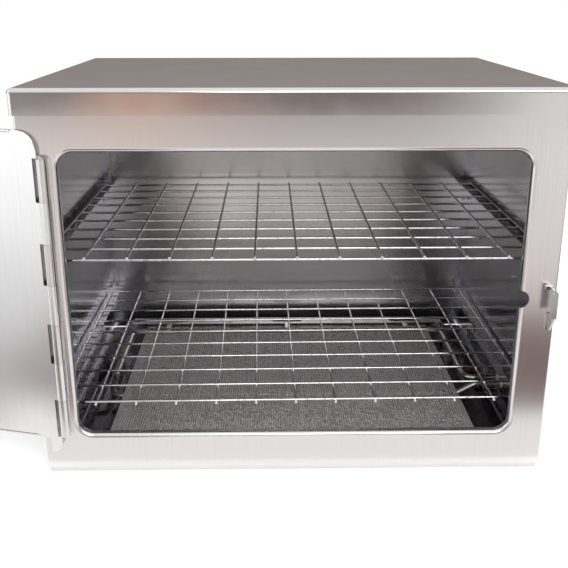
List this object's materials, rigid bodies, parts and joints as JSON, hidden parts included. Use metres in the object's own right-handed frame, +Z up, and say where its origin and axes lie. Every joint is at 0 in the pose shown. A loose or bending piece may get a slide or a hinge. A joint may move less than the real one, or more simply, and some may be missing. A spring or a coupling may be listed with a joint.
{
  "type": "hot towel cabinet",
  "caption": "Stainless steel hot towel cabinet with a hinged front door, lever latch, two wire shelves, heated mesh floor and side controls.",
  "frame": {"origin": "middle of the flat underside of the base pan", "axes": "+X to the right seen from the front and along the open door, +Y from the front face to the back, +Z up"},
  "size_m": [0.9181, 0.381, 0.3575],
  "materials": {
    "panel_steel": "brushed stainless steel sheet, satin",
    "door_steel": "brushed stainless steel sheet, light satin",
    "bracket_steel": "bright rolled stainless steel",
    "hinge_steel": "stainless steel, satin",
    "shelf_wire": "bright plated round wire",
    "woven_mesh": "fine woven stainless wire",
    "element_sheath": "sheathed heating rod, slightly heat tinted",
    "fastener_steel": "bright zinc plated steel",
    "bush_brass": "turned brass",
    "ceramic": "glazed white ceramic",
    "handle_plastic": "black heat resistant moulding",
    "control_plastic": "black moulded plastic, fine texture",
    "rocker_plastic": "black moulded plastic, semi-gloss",
    "zinc_case": "zinc plated pressed case",
    "copper_bulb": "drawn copper",
    "lamp_lens": "translucent red lens",
    "lead_sleeve": "glass-braid sleeving"
  },
  "bodies": {
    "cabinet": {"front_panel": "panel_steel", "left_side_panel": "panel_steel", "right_side_panel": "panel_steel", "back_panel": "panel_steel", "top_cover": "panel_steel", "base_pan": "panel_steel", "control_box_cover": "panel_steel", "upper_left_ledge": "bracket_steel", "upper_right_ledge": "bracket_steel", "lower_left_ledge": "bracket_steel", "lower_right_ledge": "bracket_steel", "left_floor_rail": "bracket_steel", "right_floor_rail": "bracket_steel", "rear_floor_rail": "bracket_steel", "floor_mesh_frame": "bracket_steel", "latch_strike": "bracket_steel", "hinge_frame_leaf": "hinge_steel", "hinge_pin": "hinge_steel", "floor_mesh": "woven_mesh", "heating_element": "element_sheath", "element_clips": "fastener_steel", "bulb_clips": "fastener_steel", "back_panel_screws": "fastener_steel", "top_cover_screws": "fastener_steel", "control_box_screws": "fastener_steel", "element_bushes": "ceramic", "terminal_block": "ceramic", "switch_housing": "control_plastic", "power_inlet": "control_plastic", "thermostat_body": "zinc_case", "thermostat_bulb": "copper_bulb", "pilot_lamp": "lamp_lens", "wiring": "lead_sleeve"},
    "door": {"door_inner_panel": "door_steel", "door_outer_panel": "door_steel", "latch_bushing": "bush_brass"},
    "latch": {"latch_handle": "handle_plastic", "latch_shaft": "fastener_steel", "latch_tongue": "fastener_steel", "latch_nut": "fastener_steel"},
    "upper_rack": {"upper_shelf": "shelf_wire"},
    "lower_rack": {"lower_shelf": "shelf_wire"},
    "knob": {"thermostat_knob": "control_plastic", "thermostat_shaft": "fastener_steel"},
    "rocker": {"switch_rocker": "rocker_plastic"}
  },
  "joints": [
    {"name": "door_hinge", "type": "hinge", "parent": "cabinet", "child": "door", "pos_m": [-0.2122, -0.1861, 0.171], "axis": [0, 0, 1], "range_deg": [0, 195]},
    {"name": "latch_turn", "type": "hinge", "parent": "door", "child": "latch", "pos_m": [-0.60992, -0.07394, 0.1716], "axis": [0.2588, 0.9659, 0], "range_deg": [0, 90]},
    {"name": "upper_shelf_slide", "type": "slide", "parent": "cabinet", "child": "upper_rack", "axis": [0, 1, 0], "range_m": [-0.0008, 0.012]},
    {"name": "lower_shelf_slide", "type": "slide", "parent": "cabinet", "child": "lower_rack", "axis": [0, 1, 0], "range_m": [-0.0055, 0.012]},
    {"name": "thermostat_turn", "type": "hinge", "parent": "cabinet", "child": "knob", "pos_m": [0.268, 0.0495, 0.141], "axis": [-1, 0, 0], "range_deg": [0, 270]},
    {"name": "switch_rock", "type": "hinge", "parent": "cabinet", "child": "rocker", "pos_m": [0.263, 0.0495, 0.083], "axis": [0, 1, 0], "range_deg": [0, 16]}
  ]
}
